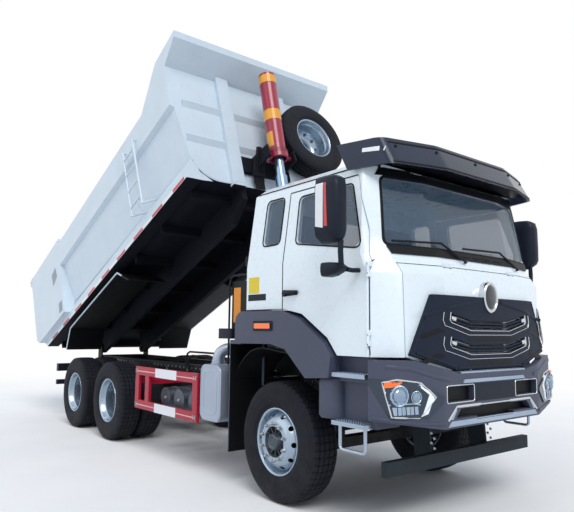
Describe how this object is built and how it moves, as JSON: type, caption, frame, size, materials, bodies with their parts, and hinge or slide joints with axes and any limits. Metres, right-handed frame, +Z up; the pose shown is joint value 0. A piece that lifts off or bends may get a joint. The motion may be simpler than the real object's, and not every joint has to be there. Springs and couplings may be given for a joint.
{
  "type": "dump truck",
  "caption": "Three-axle cab-over dump truck with a U-shaped tipping bed raised on a front telescopic hoist, opening doors, front lid and tailgate.",
  "frame": {"origin": "on the ground, under the middle of the truck's length as it stands with the bed part raised", "axes": "+X forward, +Y to the truck's left, +Z up"},
  "size_m": [9.3802, 3.0618, 5.2731],
  "materials": {
    "cab_paint": "gloss",
    "bed_paint": "satin",
    "bed_under_paint": "satin",
    "frame_paint": "satin",
    "axle_paint": "rough",
    "trim_plastic": "matte",
    "grille_plastic": "satin",
    "visor_plastic": "gloss",
    "interior_trim": "matte",
    "window_glass": "clear",
    "lamp_lens": "gloss",
    "tread_metal": "satin",
    "underrun_paint": "satin",
    "guard_paint": "gloss",
    "tank_paint": "satin",
    "silencer_metal": "satin",
    "hoist_paint": "gloss",
    "hoist_chrome": "polished",
    "tyre_rubber": "matte",
    "rim_paint": "satin"
  },
  "bodies": {
    "chassis": {"chassis_frame": "frame_paint", "crossmembers": "frame_paint", "front_axle": "axle_paint", "rear_bogie": "axle_paint", "engine_block": "axle_paint", "driveline": "axle_paint", "cab_shell": "cab_paint", "cab_interior": "interior_trim", "cab_glass": "window_glass", "sun_visor": "visor_plastic", "wipers": "trim_plastic", "bumper": "trim_plastic", "front_lamps": "lamp_lens", "front_fenders": "trim_plastic", "cab_steps": "tread_metal", "front_underrun": "underrun_paint", "side_guards": "guard_paint", "air_tanks": "tank_paint", "silencer_box": "silencer_metal", "fuel_tank": "tank_paint", "battery_box": "trim_plastic", "air_intake": "trim_plastic", "tail_bar": "frame_paint"},
    "lid": {"front_lid": "cab_paint", "grille": "grille_plastic"},
    "bed": {"bed_tub": "bed_paint", "bed_underframe": "bed_under_paint", "mudguards": "bed_under_paint", "hoist_bracket": "bed_under_paint", "spare_tyre": "tyre_rubber", "spare_rim": "rim_paint"},
    "gate": {"tailgate": "bed_paint"},
    "hoist_foot_tube": {"hoist_base": "hoist_paint"},
    "hoist_tube_1": {"hoist_stage_1": "hoist_chrome"},
    "hoist_tube_2": {"hoist_stage_2": "hoist_chrome"},
    "hoist_head": {"hoist_cover": "hoist_paint", "hoist_rod": "hoist_chrome"},
    "knuckle_assembly_right": {"knuckle_right": "axle_paint"},
    "front_wheel_right": {"front_tyre_right": "tyre_rubber", "front_rim_right": "rim_paint"},
    "door_assembly_right": {"door_right": "cab_paint", "door_glass_right": "window_glass", "mirrors_right": "trim_plastic"},
    "rear_wheels_1_right": {"rear_tyres_1_right": "tyre_rubber", "rear_rims_1_right": "rim_paint"},
    "rear_wheels_2_right": {"rear_tyres_2_right": "tyre_rubber", "rear_rims_2_right": "rim_paint"},
    "knuckle_assembly_left": {"knuckle_left": "axle_paint"},
    "front_wheel_left": {"front_tyre_left": "tyre_rubber", "front_rim_left": "rim_paint"},
    "door_assembly_left": {"door_left": "cab_paint", "door_glass_left": "window_glass", "mirrors_left": "trim_plastic"},
    "rear_wheels_1_left": {"rear_tyres_1_left": "tyre_rubber", "rear_rims_1_left": "rim_paint"},
    "rear_wheels_2_left": {"rear_tyres_2_left": "tyre_rubber", "rear_rims_2_left": "rim_paint"}
  },
  "joints": [
    {"name": "steer_right", "type": "hinge", "parent": "chassis", "child": "knuckle_assembly_right", "pos_m": [3.13, -0.84, 0.538], "axis": [0, 0, 1], "range_deg": [-35, 35]},
    {"name": "front_wheel_spin_right", "type": "hinge", "parent": "knuckle_assembly_right", "child": "front_wheel_right", "pos_m": [3.13, -1.02, 0.538], "axis": [0, 1, 0], "continuous": true},
    {"name": "rear_wheels_spin_1_right", "type": "hinge", "parent": "chassis", "child": "rear_wheels_1_right", "pos_m": [-0.695, -0.918, 0.538], "axis": [0, 1, 0], "continuous": true},
    {"name": "rear_wheels_spin_2_right", "type": "hinge", "parent": "chassis", "child": "rear_wheels_2_right", "pos_m": [-2.045, -0.918, 0.538], "axis": [0, 1, 0], "continuous": true},
    {"name": "door_swing_right", "type": "hinge", "parent": "chassis", "child": "door_assembly_right", "pos_m": [4.32, -1.2, 1.75], "axis": [0, 0, 1], "range_deg": [0, 65]},
    {"name": "steer_left", "type": "hinge", "parent": "chassis", "child": "knuckle_assembly_left", "pos_m": [3.13, 0.84, 0.538], "axis": [0, 0, 1], "range_deg": [-35, 35]},
    {"name": "front_wheel_spin_left", "type": "hinge", "parent": "knuckle_assembly_left", "child": "front_wheel_left", "pos_m": [3.13, 1.02, 0.538], "axis": [0, 1, 0], "continuous": true},
    {"name": "rear_wheels_spin_1_left", "type": "hinge", "parent": "chassis", "child": "rear_wheels_1_left", "pos_m": [-0.695, 0.918, 0.538], "axis": [0, 1, 0], "continuous": true},
    {"name": "rear_wheels_spin_2_left", "type": "hinge", "parent": "chassis", "child": "rear_wheels_2_left", "pos_m": [-2.045, 0.918, 0.538], "axis": [0, 1, 0], "continuous": true},
    {"name": "door_swing_left", "type": "hinge", "parent": "chassis", "child": "door_assembly_left", "pos_m": [4.32, 1.2, 1.75], "axis": [0, 0, -1], "range_deg": [0, 65]},
    {"name": "lid_lift", "type": "hinge", "parent": "chassis", "child": "lid", "pos_m": [4.5362, 0, 2.08], "axis": [0, -1, 0], "range_deg": [0, 60]},
    {"name": "bed_tilt", "type": "hinge", "parent": "chassis", "child": "bed", "pos_m": [-3.07, 0, 1.18], "axis": [0, -1, 0], "range_deg": [-23, 24]},
    {"name": "gate_swing", "type": "hinge", "parent": "bed", "child": "gate", "pos_m": [-4.5806, 0, 2.4008], "axis": [0, 1, 0], "range_deg": [0, 60]},
    {"name": "hoist_lean", "type": "hinge", "parent": "chassis", "child": "hoist_foot_tube", "pos_m": [2.28, 0, 0.9], "axis": [0, -1, 0], "range_deg": [-11.25, 11.75]},
    {"name": "hoist_slide_1", "type": "slide", "parent": "hoist_foot_tube", "child": "hoist_tube_1", "axis": [-0.23, 0, 0.9732], "range_m": [-0.6835, 0.713]},
    {"name": "hoist_slide_2", "type": "slide", "parent": "hoist_tube_1", "child": "hoist_tube_2", "axis": [-0.23, 0, 0.9732], "range_m": [-0.6835, 0.713]},
    {"name": "hoist_slide_3", "type": "slide", "parent": "hoist_tube_2", "child": "hoist_head", "axis": [-0.23, 0, 0.9732], "range_m": [-0.6835, 0.713]}
  ],
  "couplings": [
    {"joint": "steer_left", "follows": "steer_right", "ratio": 1},
    {"joint": "hoist_lean", "follows": "bed_tilt", "ratio": 0.487},
    {"joint": "hoist_slide_1", "follows": "bed_tilt", "m_per_rad": 1.7},
    {"joint": "hoist_slide_2", "follows": "bed_tilt", "m_per_rad": 1.7},
    {"joint": "hoist_slide_3", "follows": "bed_tilt", "m_per_rad": 1.7}
  ]
}
